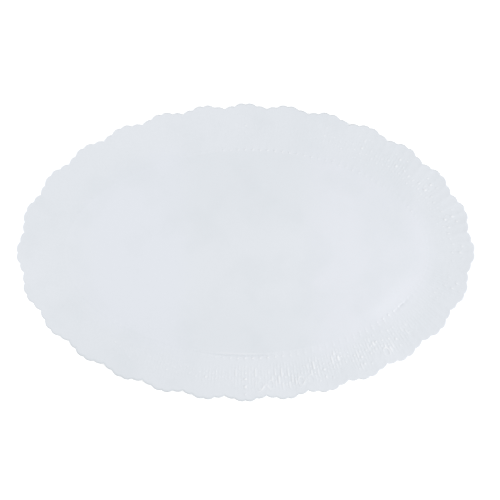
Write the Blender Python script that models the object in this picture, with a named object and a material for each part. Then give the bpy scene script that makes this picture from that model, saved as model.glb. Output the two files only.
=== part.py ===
"""An oval doily: one flat sheet, die-cut to a scalloped edge and pressed with a lace border.

The sheet lies on the XY plane with its length along X, its underside flat at z = 0 and its
origin under its middle. Its outline is an oval with a whole number of scallops spaced evenly
round it, and each scallop is made of four small lobes. The border's relief stands up from the
top face: a piped rim that follows the lobes, an arch inside each scallop, ribs that run in
towards the centre, a row of beads, and a crease where the plain centre panel begins.
"""

import math

import bmesh
import bpy
import numpy as np
from mathutils import Vector

# The oval, in metres
LENGTH = 0.355
WIDTH = 0.231

# The scalloped edge: how far its corners and bulges stand off the mean oval, in metres
SCALLOPS = 28
NOTCH = -0.00272  # where two scallops meet
STEP = -0.00102  # between a scallop's outer and inner lobe
DIP = 0.0006  # between its two inner lobes, on its centre line
STEP_PHASE = 0.2617  # the step's place, in scallops from the centre line
OUTER_BULGE = 0.00116
INNER_BULGE = 0.0016
LOBE_PEAK = 0.0015  # the edge's furthest reach past the mean oval
WAVY_TO = 0.0245  # the depth inside the mean oval where the relief stops following the lobes

# The columns of points that the sheet is built on, which run in from the edge
COLUMNS_PER_SCALLOP = 16
COLUMNS_PER_RIB = 2
COLUMNS_PER_LOBE = 4

# Heights above the underside, in metres
CREASE_TOP = 0.0010
SHEET_TOP = 0.00115
RIM_TOP = 0.0014
ARCH_TOP = 0.0015
RIB_TOP = 0.0016
BEAD_TOP = 0.0016

# The rings of the top face, from the edge inwards. depth is the distance inside the mean oval on a
# scallop's centre line, and sag is how much deeper the ring lies at a notch, both in metres. plain
# is its height between the features, and rib and bead are its heights on top of one.
RINGS = (
    # name, depth, sag, plain, rib, bead
    ("edge", 0.0, 0.0, SHEET_TOP, SHEET_TOP, SHEET_TOP),
    ("rim", 0.0018, 0.0, RIM_TOP, RIM_TOP, RIM_TOP),
    ("rim foot", 0.0036, 0.0004, SHEET_TOP, SHEET_TOP, SHEET_TOP),
    ("arch", 0.0053, 0.0031, ARCH_TOP, ARCH_TOP, ARCH_TOP),
    ("arch foot", 0.0068, 0.0036, SHEET_TOP, SHEET_TOP, SHEET_TOP),
    ("rib start", 0.0086, 0.0052, SHEET_TOP, RIB_TOP, SHEET_TOP),
    ("rib end", 0.0256, 0.0, SHEET_TOP, RIB_TOP, SHEET_TOP),
    ("bead outer foot", 0.0294, 0.0, SHEET_TOP, SHEET_TOP, SHEET_TOP),
    ("bead", 0.0320, 0.0, SHEET_TOP, SHEET_TOP, BEAD_TOP),
    ("crease", 0.0343, 0.0, CREASE_TOP, CREASE_TOP, CREASE_TOP),
    ("centre panel", 0.0355, 0.0, SHEET_TOP, SHEET_TOP, SHEET_TOP),
)

# Finish
SHEET_COLOUR = (0.78, 0.80, 0.85, 1.0)  # cool white
SHEET_ROUGHNESS = 0.65

OVAL_X = LENGTH / 2 - LOBE_PEAK  # the mean oval's semi-axes
OVAL_Y = WIDTH / 2 - LOBE_PEAK
COLUMNS = SCALLOPS * COLUMNS_PER_SCALLOP


def even_angles(count):
    """The ellipse angles of points that lie evenly along the mean oval, from the +X tip."""
    fine = np.linspace(0.0, 2 * math.pi, 20001)
    steps = np.hypot(np.diff(OVAL_X * np.cos(fine)), np.diff(OVAL_Y * np.sin(fine)))
    along = np.concatenate([[0.0], np.cumsum(steps)])
    return np.interp(np.arange(count) * along[-1] / count, along, fine)


def scallop_phase(column):
    """How far a column is from its scallop's centre line, from 0 to half a scallop."""
    place = column / COLUMNS_PER_SCALLOP
    return abs(place - round(place))


def edge_offset(phase):
    """How far the edge stands outside the mean oval: two arched lobes each side of the centre."""
    if phase > STEP_PHASE:
        share = (0.5 - phase) / (0.5 - STEP_PHASE)
        start, end, bulge = NOTCH, STEP, OUTER_BULGE
    else:
        share = 1 - phase / STEP_PHASE
        start, end, bulge = STEP, DIP, INNER_BULGE
    return start + (end - start) * share + 4 * bulge * share * (1 - share)


def sheet_point(angle, column, depth, height):
    """The point of a column that lies this deep inside the mean oval."""
    outward = Vector((math.cos(angle) / OVAL_X, math.sin(angle) / OVAL_Y, 0)).normalized()
    on_oval = Vector((OVAL_X * math.cos(angle), OVAL_Y * math.sin(angle), height))
    follows = max(0.0, 1 - depth / WAVY_TO)
    return on_oval + outward * (follows * edge_offset(scallop_phase(column)) - depth)


def ring_points(angles, depth, sag, plain, rib, bead):
    """One ring of points, raised where a rib or a bead crosses it."""
    points = []
    for column, angle in enumerate(angles):
        height = plain
        if column % COLUMNS_PER_RIB == 0:
            height = max(height, rib)
        if column % COLUMNS_PER_LOBE == COLUMNS_PER_LOBE // 2:
            height = max(height, bead)
        deep = depth + sag * (2 * scallop_phase(column)) ** 2
        points.append(sheet_point(angle, column, deep, height))
    return points


def place(face, points):
    for vert, point in zip(face.verts, points, strict=True):
        vert.co = point


def paper():
    """The cool white sheet's material."""
    material = bpy.data.materials.new("embossed sheet")
    material.use_nodes = True
    shader = material.node_tree.nodes["Principled BSDF"]
    shader.inputs["Base Color"].default_value = SHEET_COLOUR
    shader.inputs["Roughness"].default_value = SHEET_ROUGHNESS
    shader.inputs["Metallic"].default_value = 0.0
    return material


def doily():
    """The whole sheet: a flat underside, a cut edge, and a top face inset ring by ring."""
    angles = even_angles(COLUMNS)
    bm = bmesh.new()
    bmesh.ops.create_circle(bm, cap_ends=True, segments=COLUMNS, radius=OVAL_X)
    underside = bm.faces[:][0]
    place(underside, ring_points(angles, 0.0, 0.0, 0.0, 0.0, 0.0))

    wall = bmesh.ops.extrude_face_region(bm, geom=[underside], use_keep_orig=True)
    top = next(item for item in wall["geom"] if isinstance(item, bmesh.types.BMFace))
    for index, (_, *ring) in enumerate(RINGS):
        if index > 0:
            bmesh.ops.inset_individual(bm, faces=[top], thickness=0.0)
        place(top, ring_points(angles, *ring))

    bmesh.ops.recalc_face_normals(bm, faces=bm.faces)
    mesh = bpy.data.meshes.new("doily")
    bm.to_mesh(mesh)
    bm.free()
    mesh.materials.append(paper())
    mesh.shade_smooth()
    mesh.set_sharp_from_angle(angle=math.radians(50))
    sheet = bpy.data.objects.new("doily", mesh)
    bpy.context.scene.collection.objects.link(sheet)
    return sheet


for leftover in list(bpy.data.objects):
    bpy.data.objects.remove(leftover, do_unlink=True)
doily()
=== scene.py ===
"""An oval paper doily, die-cut to a scalloped edge and pressed with a lace border."""

import math

import bmesh
import bpy
import numpy as np
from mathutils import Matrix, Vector


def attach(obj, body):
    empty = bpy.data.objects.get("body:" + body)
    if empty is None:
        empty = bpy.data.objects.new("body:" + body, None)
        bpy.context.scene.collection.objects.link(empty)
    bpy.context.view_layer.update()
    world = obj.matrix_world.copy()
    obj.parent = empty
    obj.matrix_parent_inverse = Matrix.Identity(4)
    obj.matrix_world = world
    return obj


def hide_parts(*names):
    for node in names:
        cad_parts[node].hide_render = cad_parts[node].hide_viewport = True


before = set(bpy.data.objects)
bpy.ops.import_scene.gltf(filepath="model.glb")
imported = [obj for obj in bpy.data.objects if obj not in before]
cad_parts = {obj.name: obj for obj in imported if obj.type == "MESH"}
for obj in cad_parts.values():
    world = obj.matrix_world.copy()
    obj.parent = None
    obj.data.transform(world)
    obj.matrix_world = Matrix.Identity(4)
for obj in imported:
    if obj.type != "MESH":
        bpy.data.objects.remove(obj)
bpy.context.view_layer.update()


# --- Camera ------------------------------------------------------------------------------------
# It hangs straight over the sheet and looks down, a few millimetres to the right of the sheet's
# middle and above it, so that the oval fills most of the square frame.

LENS = 85.0  # millimetres
SENSOR = 36.0
FRAME_WIDTH = 0.3881  # what the frame takes in at the sheet, in metres
FRAME_MIDDLE = (0.0034, 0.0019)
NEAREST_SEEN = 0.01

camera_data = bpy.data.cameras.new("camera")
camera_data.lens = LENS
camera_data.sensor_width = SENSOR
camera_data.clip_start = NEAREST_SEEN
camera = bpy.data.objects.new("camera", camera_data)
camera.location = (*FRAME_MIDDLE, FRAME_WIDTH * LENS / SENSOR)
bpy.context.scene.collection.objects.link(camera)
bpy.context.scene.camera = camera


# --- Table -------------------------------------------------------------------------------------
# A plain flat board painted matt white, far wider than the sheet that lies on it. The paint gives
# off a little light of its own, so that it stays clean white.

TABLE_HALF_SIDE = 12.0  # metres
TABLE_WHITE = (0.93, 0.93, 0.93, 1.0)
TABLE_ROUGHNESS = 0.9
TABLE_GLOW = (1.0, 1.0, 1.0, 1.0)
TABLE_GLOW_STRENGTH = 0.3

bm = bmesh.new()
bmesh.ops.create_grid(bm, x_segments=1, y_segments=1, size=TABLE_HALF_SIDE)
table_mesh = bpy.data.meshes.new("table")
bm.to_mesh(table_mesh)
bm.free()
table = bpy.data.objects.new("table", table_mesh)
bpy.context.scene.collection.objects.link(table)

table_paint = bpy.data.materials.new("table_paint")
table_paint.use_nodes = True
table_shader = table_paint.node_tree.nodes["Principled BSDF"]
table_shader.inputs["Base Color"].default_value = TABLE_WHITE
table_shader.inputs["Roughness"].default_value = TABLE_ROUGHNESS
table_shader.inputs["Specular IOR Level"].default_value = 0.0
table_shader.inputs["Emission Color"].default_value = TABLE_GLOW
table_shader.inputs["Emission Strength"].default_value = TABLE_GLOW_STRENGTH
table_mesh.materials.append(table_paint)


# --- The sheet ---------------------------------------------------------------------------------
# One sheet of coated white paper. A die cuts it to an oval of 28 scallops, each of four small
# lobes, and presses the lace border into it in the same stroke. It lies loose, so the border lifts
# a little off the table and the plain middle bows.

LENGTH = 0.355  # the oval, in metres
WIDTH = 0.231
SCALLOPS = 28
LOBE_PEAK = 0.0015  # the cut edge's furthest reach past the mean oval
NOTCH = -0.00272  # how far the edge stands off the mean oval where two scallops meet
STEP = -0.00102  # and between a scallop's outer and inner lobe
DIP = 0.0006  # and between its two inner lobes
STEP_PHASE = 0.2617  # the step's place, in scallops from the centre line
OUTER_BULGE = 0.00116
INNER_BULGE = 0.0016

OVAL_X = LENGTH / 2 - LOBE_PEAK
OVAL_Y = WIDTH / 2 - LOBE_PEAK
OVAL_STEPS = 20000  # the short steps that the oval is measured in

PAPER_THICKNESS = 0.00018
TABLE_GAP = 0.00004  # under the sheet where it touches
COLUMNS_PER_SCALLOP = 48
COLUMNS = SCALLOPS * COLUMNS_PER_SCALLOP
ROW_ZONES = (  # what each zone holds, the depth in millimetres that it runs to, and its rows
    ("cut edge", 0.9, 1),
    ("piped rim", 4.4, 3),
    ("arches and outer stitches", 18.0, 13),
    ("inner stitches and rosettes", 28.0, 9),
    ("bead row", 33.2, 4),
    ("crease", 35.6, 4),
)
WAVY_TO = 24.5  # the depth, in millimetres, where the rows no longer follow the scallops


def row_depths():
    """The depths of the border's rows, in millimetres inside the mean oval."""
    depths = [0.0]
    for _, end, rows in ROW_ZONES:
        depths += list(np.linspace(depths[-1], end, rows + 1)[1:])
    return np.array(depths)


def even_angles(count):
    """The ellipse angles of count + 1 points evenly along the mean oval, from its +X tip."""
    fine = np.linspace(0.0, 2 * math.pi, OVAL_STEPS + 1)
    steps = np.hypot(np.diff(OVAL_X * np.cos(fine)), np.diff(OVAL_Y * np.sin(fine)))
    along = np.concatenate([[0.0], np.cumsum(steps)])
    return np.interp(np.arange(count + 1) * along[-1] / count, along, fine), along[-1]


def edge_offset(phase):
    """How far the cut edge stands outside the mean oval: two arched lobes each side."""
    outer = (0.5 - phase) / (0.5 - STEP_PHASE)
    inner = 1 - phase / STEP_PHASE
    outer_lobe = NOTCH + (STEP - NOTCH) * outer + 4 * OUTER_BULGE * outer * (1 - outer)
    inner_lobe = STEP + (DIP - STEP) * inner + 4 * INNER_BULGE * inner * (1 - inner)
    return np.where(phase > STEP_PHASE, outer_lobe, inner_lobe)


def inside_oval(angle, phase, depth):
    """The flat place of points at this depth in millimetres, as two arrays."""
    outward_x, outward_y = np.cos(angle) / OVAL_X, np.sin(angle) / OVAL_Y
    length = np.hypot(outward_x, outward_y)
    wavy = np.clip(1 - depth / WAVY_TO, 0, 1)
    out = wavy * edge_offset(phase) - depth / 1000
    return (
        OVAL_X * np.cos(angle) + out * outward_x / length,
        OVAL_Y * np.sin(angle) + out * outward_y / length,
    )


def ridge(distance, half_width):
    """How high a pressed line or dot stands at this distance from its middle, from 0 to 1."""
    return np.cos(np.clip(np.abs(distance) / half_width, 0, 1) * math.pi / 2) ** 2


# One scallop's share of the lace, mirrored about its centre line: columns of stitches and beads
# run in from under an arch, with a rosette between each two scallops. A column is counted from the
# scallop's centre line, so that 24 is the notch, and the other numbers are in millimetres.
ARCH_CREST, ARCH_NOTCH, ARCH_HALF_WIDTH, ARCH_HEIGHT = 4.6, 10.6, 1.0, 0.40
ARCH_POWER = 5  # how squarely the arch turns down into the notch
STITCHES = (
    # column, outer end, inner end, half width, height
    (0, 23.6, 26.4, 1.00, 0.40),
    (4, 7.8, 12.0, 1.00, 0.40),
    (4, 16.8, 22.6, 1.00, 0.40),
    (8, 11.8, 16.8, 1.00, 0.40),
    (8, 23.4, 26.4, 1.00, 0.40),
    (12, 8.2, 12.8, 1.00, 0.40),
    (12, 17.8, 23.8, 1.00, 0.40),
    (16, 14.0, 16.8, 1.00, 0.40),
    (16, 24.2, 27.0, 1.00, 0.40),
    (20, 19.6, 22.4, 1.45, 0.42),
    (24, 14.6, 17.6, 1.00, 0.40),
)
LOOP = (18, 10.4, 2.3, 3.4, 0.80, 0.42)  # column, depth, half its width, half its length, then as above
BEADS = (
    # column, depth, radius, height
    (0, 4.6, 1.20, 0.40),
    (0, 10.2, 1.45, 0.52),
    (0, 16.0, 1.45, 0.52),
    (0, 20.6, 1.20, 0.44),
    (4, 14.4, 1.10, 0.38),
    (4, 25.0, 1.20, 0.42),
    (8, 8.6, 1.20, 0.44),
    (8, 19.4, 1.20, 0.42),
    (12, 15.2, 1.20, 0.42),
    (12, 26.4, 1.20, 0.42),
    (16, 20.6, 1.20, 0.42),
    (20, 16.4, 1.20, 0.44),
    (24, 21.4, 1.30, 0.46),
    (24, 27.2, 1.10, 0.40),
    # the bead row, and the row of dots along the crease
    (0, 31.8, 1.35, 0.48),
    (9.6, 31.8, 1.35, 0.48),
    (19.2, 31.8, 1.35, 0.48),
    (0, 34.2, 1.25, 0.44),
    (9.6, 34.2, 1.25, 0.44),
    (19.2, 34.2, 1.25, 0.44),
)
ROSETTE = (27.2, 2.5, 0.90, 0.42)  # depth, and its ring's radius, half width and height
ROSETTE_PETALS = 6
PETAL_DIP = 0.56  # how much lower the ring is between two petals, as a share of its height
RIM = (1.9, 1.5, 0.14)  # the piped rim's depth, half width and height
BAND = (29.6, 0.90, 0.10)  # the plain line inside the stitches
CREASE = (33.8, 0.95, -0.40)
LIP = (35.3, 0.80, 0.20)  # the fold that stands up inside the crease


def round_line(line, depth):
    """The height in millimetres of a line that runs the whole way round."""
    deep, half_width, height = line
    return height * ridge(depth - deep, half_width)


def line_relief(count, depth, width):
    """The height in millimetres of the rim, arches, stitches and rosettes."""
    phase = np.abs(count - np.round(count))
    arch = ARCH_CREST + (ARCH_NOTCH - ARCH_CREST) * (2 * phase) ** ARCH_POWER
    steepness = (ARCH_NOTCH - ARCH_CREST) * ARCH_POWER * (2 * phase) ** (ARCH_POWER - 1) * 2 / width
    lines = [
        round_line(RIM, depth),
        ARCH_HEIGHT * ridge((depth - arch) / np.hypot(1, steepness), ARCH_HALF_WIDTH),
        round_line(BAND, depth),
    ]
    for column, outer, inner, half_width, height in STITCHES:
        across = (phase - column / COLUMNS_PER_SCALLOP) * width
        past_end = np.maximum(np.maximum(outer - depth, depth - inner), 0)
        lines.append(height * ridge(np.hypot(across, past_end), half_width))
    column, deep, half_across, half_along, half_width, height = LOOP
    across = (phase - column / COLUMNS_PER_SCALLOP) * width
    out = np.hypot(across / half_across, (depth - deep) / half_along) - 1
    lines.append(height * ridge(out * (half_across + half_along) / 2, half_width))
    deep, radius, half_width, height = ROSETTE
    across, along = (0.5 - phase) * width, depth - deep
    petals = 1 - PETAL_DIP / 2 * (1 - np.cos(ROSETTE_PETALS * np.arctan2(across, along)))
    lines.append(height * petals * ridge(np.hypot(across, along) - radius, half_width))
    return np.maximum.reduce(lines)


def bead_relief(count, depth, width):
    """The height in millimetres of the beads."""
    phase = np.abs(count - np.round(count))
    beads = []
    for column, deep, radius, height in BEADS:
        across = (phase - column / COLUMNS_PER_SCALLOP) * width
        beads.append(height * ridge(np.hypot(across, depth - deep), radius))
    return np.maximum.reduce(beads)


# The die bites harder in some places than in others. A patch is a place in scallops round from the
# right-hand tip and in millimetres deep, its spread each way, and how much harder it is there.
LINE_BITE = 0.10
LINE_PATCHES = (
    (-7.0, 23.5, 0.25, 8.0, 0.36),
    (-7.24, 17.0, 0.09, 9.0, 0.36),
    (-6.75, 17.0, 0.09, 9.0, 0.46),
    (-6.55, 6.0, 0.16, 4.5, 0.62),
    (-6.1, 16.0, 0.40, 9.0, 0.76),
    (-5.65, 10.0, 0.22, 5.0, 0.50),
    (-5.25, 19.0, 0.20, 8.0, 0.76),
    (-4.65, 22.0, 0.22, 8.0, 0.80),
    (-4.05, 15.0, 0.16, 9.0, 0.66),
    (-3.65, 21.0, 0.15, 6.5, 0.66),
    (-3.3, 12.5, 0.20, 6.0, 0.78),
    (-2.7, 17.0, 0.25, 6.0, 0.50),
    (-7.75, 17.5, 0.45, 6.0, 0.36),
    (-9.2, 18.0, 0.70, 9.0, 0.20),
    (1.9, 15.0, 0.50, 7.0, 0.12),
    (3.1, 15.0, 0.50, 8.0, 0.24),
)
BEAD_BITE = 0.16
BEAD_PATCHES = (
    (-7.0, 12.0, 0.16, 14.0, 0.88),
    (-6.8, 31.8, 1.10, 1.3, 0.55),
    (-5.0, 16.0, 1.30, 12.0, 0.70),
    (-3.4, 20.0, 0.80, 12.0, 0.70),
    (-2.7, 34.2, 0.60, 1.3, 0.60),
    (-0.7, 9.0, 0.40, 7.0, 0.80),
    (-1.3, 19.0, 0.25, 5.0, 0.50),
    (-0.35, 13.0, 0.16, 4.0, 0.40),
    (0.15, 11.0, 0.28, 6.0, 0.46),
    (0.7, 12.5, 0.50, 8.0, 0.74),
    (2.3, 14.0, 1.20, 9.0, 0.76),
    (1.8, 34.2, 0.30, 1.3, 0.40),
    (3.8, 34.2, 0.80, 1.3, 0.25),
    (4.3, 18.0, 1.20, 13.0, 0.46),
    (6.9, 18.0, 0.60, 9.0, 0.40),
    (-7.9, 17.0, 0.70, 5.0, 0.66),
    (-9.2, 19.0, 0.80, 9.0, 0.36),
    (-10.5, 20.0, 0.35, 4.0, 0.45),
    (-10.7, 34.2, 0.15, 1.3, 0.50),
    (6.4, 34.2, 1.70, 1.3, 0.70),
)
CREASE_BITE = 0.07
CREASE_PATCHES = (
    (-7.2, 34.4, 0.85, 3.0, 1.20),
    (-2.3, 34.4, 0.24, 3.0, 0.74),
    (6.6, 34.4, 1.50, 3.0, 0.15),
)


def bite(count, depth, everywhere, patches):
    """How hard the die bites, which rises in some patches."""
    total = everywhere
    for place, deep, spread_round, spread_deep, more in patches:
        away = (count - place + SCALLOPS / 2) % SCALLOPS - SCALLOPS / 2
        total = total + more * np.exp(-((away / spread_round) ** 2) - ((depth - deep) / spread_deep) ** 2)
    return np.minimum(total, 1)


# The loose edge rises more in some places. Each entry is a place round the oval and a spread, both
# in degrees, and how much higher it is there, in metres.
EDGE_LIFT = 0.0003
HIGHER_EDGE = ((3, 58, 0.0021), (14, 22, 0.0003), (170, 60, 0.0010), (-100, 45, 0.0003))
LIFT_CURL = 1.7  # how steeply the lift gathers towards the edge
REST_HEIGHT = 0.00040  # the sheet rests on the crease, which is pressed down by as much
ROLLED_DOWN = 0.00003  # how far the die turned the cut edge down
ROLL_DEPTH = 0.8  # and how far in, in millimetres
PANEL_DEPTH = 34.3  # where the plain middle begins, in millimetres


def round_oval(angle, everywhere, places):
    """A value that rises near some places round the oval."""
    value = everywhere
    for place, spread, more in places:
        away = (np.degrees(angle) - place + 180) % 360 - 180
        value = value + more * np.exp(-((away / spread) ** 2))
    return value


# Where the plain middle rises off the table: middle, spread and rise, in metres
SWELLS = (
    ((0.026, 0.001), (0.038, 0.042), 0.0012),
    ((0.099, -0.039), (0.021, 0.016), 0.00068),
    ((-0.104, -0.004), (0.034, 0.040), 0.0007),
)
SWELL_FOOT = 16  # millimetres inside the crease that the swells take to rise


def lie(x, y, depth):
    """The height of the flat paper's top where it lies loose, before the lace is pressed."""
    lift = round_oval(np.arctan2(y / OVAL_Y, x / OVAL_X), EDGE_LIFT, HIGHER_EDGE)
    height = TABLE_GAP + PAPER_THICKNESS + REST_HEIGHT
    height = height + lift * np.clip(1 - depth / PANEL_DEPTH, 0, 1) ** LIFT_CURL
    height = height - ROLLED_DOWN * np.clip(1 - depth / ROLL_DEPTH, 0, 1)
    for (mid_x, mid_y), (spread_x, spread_y), swell in SWELLS:
        away = ((x - mid_x) / spread_x) ** 2 + ((y - mid_y) / spread_y) ** 2
        rising = np.clip((depth - PANEL_DEPTH) / SWELL_FOOT, 0, 1)
        height = height + swell * np.exp(-away / 2) * rising**2 * (3 - 2 * rising)
    return height


# The border is a grid of columns round the oval and rows inwards
angles, around = even_angles(COLUMNS)
depths = row_depths()
inner_depth = float(depths[-1])
column, row = np.meshgrid(np.arange(COLUMNS + 1), np.arange(len(depths)))
count = column / COLUMNS_PER_SCALLOP
phase = np.abs(count - np.round(count))
depth = depths[row]
x, y = inside_oval(angles[column], phase, depth)
bend = (OVAL_X * np.sin(angles)) ** 2 + (OVAL_Y * np.cos(angles)) ** 2
bend_radius = 1000 * bend**1.5 / (OVAL_X * OVAL_Y)
scallop_width = 1000 * around / SCALLOPS * (1 - depth / bend_radius[column])
lace = np.maximum(
    line_relief(count, depth, scallop_width) * bite(count, depth, LINE_BITE, LINE_PATCHES),
    bead_relief(count, depth, scallop_width) * bite(count, depth, BEAD_BITE, BEAD_PATCHES),
)
crease = round_line(CREASE, depth) + round_line(LIP, depth)
lace = lace + crease * bite(count, depth, CREASE_BITE, CREASE_PATCHES)
z = lie(x, y, depth) + lace / 1000

WELD_GAP = 1e-6  # vertices nearer than this are one, where the border meets itself at the tip

bm = bmesh.new()
lace_map = bm.loops.layers.uv.new("lace")
pressed = bm.verts.layers.float.new("pressed")
bmesh.ops.create_grid(bm, x_segments=COLUMNS, y_segments=len(depths) - 1, size=1.0)
places = np.stack([x, y, z], axis=-1).reshape(-1, 3)
for vert, place, rise in zip(bm.verts, places.tolist(), lace.ravel().tolist(), strict=True):
    vert.co = place
    vert[pressed] = rise
bm.verts.index_update()
counts, deeps = count.ravel().tolist(), depth.ravel().tolist()
for face in bm.faces:
    for loop in face.loops:
        loop[lace_map].uv = counts[loop.vert.index], deeps[loop.vert.index]
bmesh.ops.remove_doubles(bm, verts=bm.verts, dist=WELD_GAP)
inner_edges = [
    edge
    for edge in bm.edges
    if edge.is_boundary
    and all(loop[lace_map].uv.y > inner_depth / 2 for vert in edge.verts for loop in vert.link_loops)
]

# The plain middle is a square grid, rounded to the border's inner edge
MIDDLE_CELLS = 36
MIDDLE_SHARE = 0.975  # how near the grid comes to that edge
MIDDLE_LACE_UV = (0.25, 60.0)  # the middle holds no lace, so all of it is given one count and depth
LEAST_REACH = 0.001  # keeps the sheet's very centre from being divided by nothing

middle = bmesh.ops.create_grid(bm, x_segments=MIDDLE_CELLS, y_segments=MIDDLE_CELLS, size=1.0)
for vert in middle["verts"]:
    flat_x = vert.co.x * math.sqrt(1 - vert.co.y**2 / 2)
    flat_y = vert.co.y * math.sqrt(1 - vert.co.x**2 / 2)
    angle = math.atan2(flat_y, flat_x)
    edge_x, edge_y = inside_oval(angle, 0.0, np.float64(inner_depth))
    share = MIDDLE_SHARE * math.hypot(flat_x, flat_y)
    spot_x, spot_y = share * float(edge_x), share * float(edge_y)
    reach = max(math.hypot(spot_x / OVAL_X, spot_y / OVAL_Y), LEAST_REACH)
    slope = max(math.hypot(spot_x / OVAL_X**2, spot_y / OVAL_Y**2), LEAST_REACH / OVAL_X)
    spot_depth = 1000 * (1 - reach) * reach / slope
    vert.co = (spot_x, spot_y, float(lie(spot_x, spot_y, max(spot_depth, inner_depth))))
    for loop in vert.link_loops:
        loop[lace_map].uv = MIDDLE_LACE_UV
middle_edges = [edge for vert in middle["verts"] for edge in vert.link_edges if edge.is_boundary]
joined = bmesh.ops.bridge_loops(bm, edges=inner_edges + list(dict.fromkeys(middle_edges)))
for face in joined["faces"]:
    for loop in face.loops:
        loop[lace_map].uv = MIDDLE_LACE_UV
bmesh.ops.recalc_face_normals(bm, faces=bm.faces)
bm.normal_update()
if sum(face.normal.z for face in bm.faces) < 0:
    bmesh.ops.reverse_faces(bm, faces=bm.faces)

sheet_mesh = bpy.data.meshes.new("paper_sheet")
bm.to_mesh(sheet_mesh)
bm.free()
sheet_mesh.shade_smooth()
sheet = bpy.data.objects.new("paper_sheet", sheet_mesh)
bpy.context.scene.collection.objects.link(sheet)
thickness = sheet.modifiers.new("paper thickness", "SOLIDIFY")
thickness.thickness = PAPER_THICKNESS
thickness.offset = -1.0


class Shade:
    """A shader socket that can stand in a sum. Each operator adds the Math node it needs."""

    def __init__(self, tree, socket=None):
        self.tree = tree
        self.socket = socket

    def node(self, kind, settings, sockets, output=0):
        made = self.tree.nodes.new(kind)
        for name, setting in settings.items():
            setattr(made, name, setting)
        for name, value in sockets.items():
            if isinstance(value, Shade):
                self.tree.links.new(value.socket, made.inputs[name])
            else:
                made.inputs[name].default_value = value
        return Shade(self.tree, made.outputs[output])

    def math(self, operation, *values):
        return self.node("ShaderNodeMath", {"operation": operation}, dict(enumerate(values)))

    def __add__(self, other):
        return self.math("ADD", self, other)

    def __sub__(self, other):
        return self.math("SUBTRACT", self, other)

    def __rsub__(self, other):
        return self.math("SUBTRACT", other, self)

    def __mul__(self, other):
        return self.math("MULTIPLY", self, other)

    def __truediv__(self, other):
        return self.math("DIVIDE", self, other)

    __radd__ = __add__
    __rmul__ = __mul__

    def step(self, start, full):
        """0 where this is at start, rising smoothly to 1 at full, which may be the lower one."""
        return self.node(
            "ShaderNodeMapRange",
            {"interpolation_type": "SMOOTHSTEP"},
            {"Value": self, "From Min": start, "From Max": full},
        )

    def within(self, low, high, soft):
        """1 where this lies between low and high, falling smoothly to 0 over soft outside."""
        return self.step(low - soft, low) * (1 - self.step(high, high + soft))

    def off(self, place, start, full):
        """A step on how far this is from one value."""
        return self.math("ABSOLUTE", self - place).step(start, full)

    def away(self, place, start, full):
        """A step on how far this spot is from a place."""
        distance = self.node("ShaderNodeVectorMath", {"operation": "DISTANCE"}, {0: self, 1: place}, 1)
        return distance.step(start, full)

    def mix(self, first, second, share):
        """The first colour, turning into the second as share goes from 0 to 1."""
        settings = {"data_type": "RGBA", "clamp_factor": True}
        return self.node("ShaderNodeMix", settings, {0: share, 6: first, 7: second}, 2)


PAPER_WHITE = (0.748, 0.777, 0.819, 1.0)
PAPER_BLUE = (0.748, 0.777, 0.828, 1.0)  # bluer, on the left side of the middle
PAPER_VIOLET = (0.753, 0.777, 0.828, 1.0)  # and violet, on the right side
PAPER_GREY_AND_PAINTED_SHADE = (0.691, 0.727, 0.766, 1.0)  # grey in the clouds of the pulp and along the cut edge, and painted shade
PAPER_PAINTED_HIGHLIGHT = (0.900, 0.917, 0.945, 1.0)  # a painted highlight on top of the highest stitches and beads
PAPER_ROUGHNESS = 0.50
CLOUD_ROUGHNESS = 0.06  # how much rougher the paper is in the clouds
BURNISHED_ROUGHNESS = 0.30  # where the die has pressed the lace
POLISH = 0.9
POLISH_ROUGHNESS = 0.30
POLISH_IOR = 2.2
FIBRES = {"Scale": 900.0, "Detail": 4.0, "Roughness": 0.6}
CLOUDS = {"Scale": 28.0, "Detail": 3.0, "Roughness": 0.5}
NET_CELLS = 20  # the net's meshes across one scallop
NET_ROW = 1.5  # how far apart its rows are, in millimetres
NET_THREAD = (0.04, 0.24)  # how thick its threads are, in meshes
NET_ZONE = (9.0, 27.0, 1.2)  # the depths that it runs between, and how softly it ends
NET_HEIGHT = 0.000012
FIBRE_HEIGHT = 0.000010

# Every pair below is where a tone starts and where it is full. They are values of the cloud and
# fibre noise, depths in millimetres, heights of the lace in millimetres or distances in metres.
CLOUDED = (0.42, 0.70)
FIBROUS = (0.45, 0.75)
CUT_EDGE = (0.75, 0.15)
# painted shade along the cut edge on the lower left
PAINTED_EDGE_SHADE_BAND = (2.3, 0.8)
# painted shade in the pressed crease
GROOVE = (-0.06, -0.26)
# painted highlight on the tops of the lace
PAINTED_HIGHLIGHT_HEIGHTS = (0.06, 0.34)
BURNISHED = (0.02, 0.30)
INTO_MIDDLE = (30.0, 60.0)
BORDER = (50.0, 28.0)
BORDER_RIM = (40.0, 18.0)
PAST_RIM = (18.0, 40.0)

# Where on the sheet each painted shade, painted light and tint lies: its middle, then where it starts and
# where it is full
# painted shade over the top and bottom of the sheet's middle
PAINTED_MIDDLE_SHADE_ALONG = (0.002, 0.078, 0.030)
PAINTED_MIDDLE_SHADE_ACROSS = (-0.008, 0.012, 0.055)
# painted shade at the upper right of the middle
PAINTED_UPPER_RIGHT_SHADE_ALONG = (0.106, 0.028, 0.008)
PAINTED_UPPER_RIGHT_SHADE_ACROSS = (0.040, 0.055, 0.025)
# painted light on the left of the middle
PAINTED_LEFT_LIGHT_SPOT = ((-0.088, -0.014, 0.0), 0.056, 0.016)
# painted shade over the border, left off round this spot at the lower right
PAINTED_BORDER_SHADE_SPOT = ((0.06, -0.10, 0.0), 0.05, 0.12)
PAINTED_EDGE_SHADE_SPOT = ((-0.05, -0.105, 0.0), 0.13, 0.07)
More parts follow.
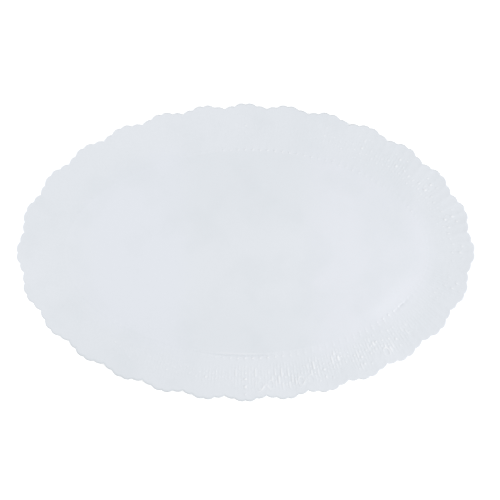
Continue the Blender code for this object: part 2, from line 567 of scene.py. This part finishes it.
# painted light on the border at the upper left and at the left-hand tip
PAINTED_BORDER_LIGHT_TOP = ((-0.058, 0.094, 0.0), 0.085, 0.030)
PAINTED_BORDER_LIGHT_TIP = ((-0.172, -0.020, 0.0), 0.045, 0.012)
TINTED_SIDES = (0.002, 0.034, 0.062)
TINTED_FROM = (-0.145, -0.105)
BLUE_TO_VIOLET = (-0.01, 0.01)

# How much of the grey and painted shade each tone brings, or takes away where it is painted light
CLOUDED_SHADE = 0.35
FIBROUS_SHADE = 0.18
CUT_EDGE_SHADE = 0.06
PAINTED_EDGE_SHADE = 0.78
PAINTED_CREASE_SHADE = 0.5
PAINTED_MIDDLE_SHADE = 0.30
PAINTED_BORDER_SHADE = 0.14
PAINTED_UPPER_RIGHT_SHADE = 0.26
PAINTED_LEFT_LIGHT = -0.22
PAINTED_BORDER_LIGHT = -0.24

paper = bpy.data.materials.new("coated_paper")
paper.use_nodes = True
paper_shader = paper.node_tree.nodes["Principled BSDF"]
pen = Shade(paper.node_tree)
lace_uv = pen.node("ShaderNodeUVMap", {"uv_map": "lace"}, {})
lace_count = pen.node("ShaderNodeSeparateXYZ", {}, {0: lace_uv}, 0)
lace_depth = pen.node("ShaderNodeSeparateXYZ", {}, {0: lace_uv}, 1)
lace_height = pen.node("ShaderNodeAttribute", {"attribute_name": "pressed"}, {}, 2)
spot = pen.node("ShaderNodeTexCoord", {}, {}, 3)
along = pen.node("ShaderNodeSeparateXYZ", {}, {0: spot}, 0)
across = pen.node("ShaderNodeSeparateXYZ", {}, {0: spot}, 1)
fibres = pen.node("ShaderNodeTexNoise", {}, {"Vector": spot, **FIBRES})
clouds = pen.node("ShaderNodeTexNoise", {}, {"Vector": spot, **CLOUDS})

net_row = lace_depth / NET_ROW
slant_one = pen.math("PINGPONG", lace_count * NET_CELLS + net_row, 0.5)
slant_two = pen.math("PINGPONG", lace_count * NET_CELLS - net_row, 0.5)
threads = 1 - pen.math("MINIMUM", slant_one, slant_two).step(*NET_THREAD)
net = threads * lace_depth.within(*NET_ZONE)

# Painted shade over the top and bottom of the sheet's middle
painted_middle_shade = along.off(*PAINTED_MIDDLE_SHADE_ALONG) * across.off(*PAINTED_MIDDLE_SHADE_ACROSS) * lace_depth.step(*INTO_MIDDLE)
# Painted shade at the upper right of the middle
painted_upper_right_shade = along.off(*PAINTED_UPPER_RIGHT_SHADE_ALONG) * across.off(*PAINTED_UPPER_RIGHT_SHADE_ACROSS)
# Painted light on the left of the middle
painted_left_light = spot.away(*PAINTED_LEFT_LIGHT_SPOT)
# Painted shade over the border, left off at the lower right
painted_border_shade = lace_depth.step(*BORDER) * spot.away(*PAINTED_BORDER_SHADE_SPOT)
# Painted shade along the cut edge on the lower left
painted_edge_shade = lace_depth.step(*PAINTED_EDGE_SHADE_BAND) * spot.away(*PAINTED_EDGE_SHADE_SPOT)
# Painted light on the border at the upper left and at the left-hand tip
painted_border_light = (spot.away(*PAINTED_BORDER_LIGHT_TOP) + spot.away(*PAINTED_BORDER_LIGHT_TIP)) * lace_depth.step(*BORDER_RIM)
# The grey of the pulp and cut edge, with painted shade and painted light, as one share of the shade
# colour
grey_painted_shade_and_light = (
    clouds.step(*CLOUDED) * CLOUDED_SHADE
    + fibres.step(*FIBROUS) * FIBROUS_SHADE
    + lace_depth.step(*CUT_EDGE) * CUT_EDGE_SHADE
    + painted_edge_shade * PAINTED_EDGE_SHADE
    # painted shade in the pressed crease
    + lace_height.step(*GROOVE) * PAINTED_CREASE_SHADE
    + painted_middle_shade * PAINTED_MIDDLE_SHADE
    + painted_border_shade * PAINTED_BORDER_SHADE
    + painted_upper_right_shade * PAINTED_UPPER_RIGHT_SHADE
    + painted_left_light * PAINTED_LEFT_LIGHT
    + painted_border_light * PAINTED_BORDER_LIGHT
)
tinted = along.off(*TINTED_SIDES) * lace_depth.step(*PAST_RIM) * along.step(*TINTED_FROM)
tint = pen.mix(PAPER_BLUE, PAPER_VIOLET, along.step(*BLUE_TO_VIOLET))
colour = pen.mix(pen.mix(PAPER_WHITE, tint, tinted), PAPER_GREY_AND_PAINTED_SHADE, grey_painted_shade_and_light)
# A painted highlight on top of the highest stitches and beads
colour = pen.mix(colour, PAPER_PAINTED_HIGHLIGHT, lace_height.step(*PAINTED_HIGHLIGHT_HEIGHTS))
pen.tree.links.new(colour.socket, paper_shader.inputs["Base Color"])

height = net * NET_HEIGHT + fibres * FIBRE_HEIGHT
bump = pen.node("ShaderNodeBump", {}, {"Strength": 1.0, "Distance": 1.0, "Height": height})
pen.tree.links.new(bump.socket, paper_shader.inputs["Normal"])
burnished = lace_height.step(*BURNISHED)
roughness = PAPER_ROUGHNESS + clouds * CLOUD_ROUGHNESS
roughness = roughness - burnished * (PAPER_ROUGHNESS - BURNISHED_ROUGHNESS)
pen.tree.links.new(roughness.socket, paper_shader.inputs["Roughness"])
polish = burnished * POLISH
pen.tree.links.new(polish.socket, paper_shader.inputs["Coat Weight"])
paper_shader.inputs["Coat Roughness"].default_value = POLISH_ROUGHNESS
paper_shader.inputs["Coat IOR"].default_value = POLISH_IOR
sheet_mesh.materials.append(paper)

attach(sheet, "root")
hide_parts("doily")


# --- Light -------------------------------------------------------------------------------------
# Plain even daylight all round. A low soft lamp on each side rakes across the sheet, and a small
# nearer one at the right brings out the pressed lace there.

DAYLIGHT = (1.0, 1.0, 1.0, 1.0)
DAYLIGHT_STRENGTH = 0.70
LAMPS = (
    # name, place in metres, side in metres, power in watts
    ("left_lamp", (-1.10, 0.45, 0.42), 0.30, 6.6),
    ("raking_lamp", (1.35, -0.40, 0.28), 0.14, 10.8),
    ("near_lamp", (0.65, -0.25, 0.70), 0.08, 1.2),
)

for name, place, side, power in LAMPS:
    light = bpy.data.lights.new(name, "AREA")
    light.shape = "SQUARE"
    light.size = side
    light.energy = power
    lamp = bpy.data.objects.new(name, light)
    lamp.location = place
    lamp.rotation_euler = (-Vector(place)).to_track_quat("-Z", "Y").to_euler()
    lamp.visible_camera = False
    bpy.context.scene.collection.objects.link(lamp)

world = bpy.data.worlds.new("studio")
world.use_nodes = True
world.node_tree.nodes["Background"].inputs["Color"].default_value = DAYLIGHT
world.node_tree.nodes["Background"].inputs["Strength"].default_value = DAYLIGHT_STRENGTH
bpy.context.scene.world = world
bpy.context.scene.view_settings.view_transform = "Standard"
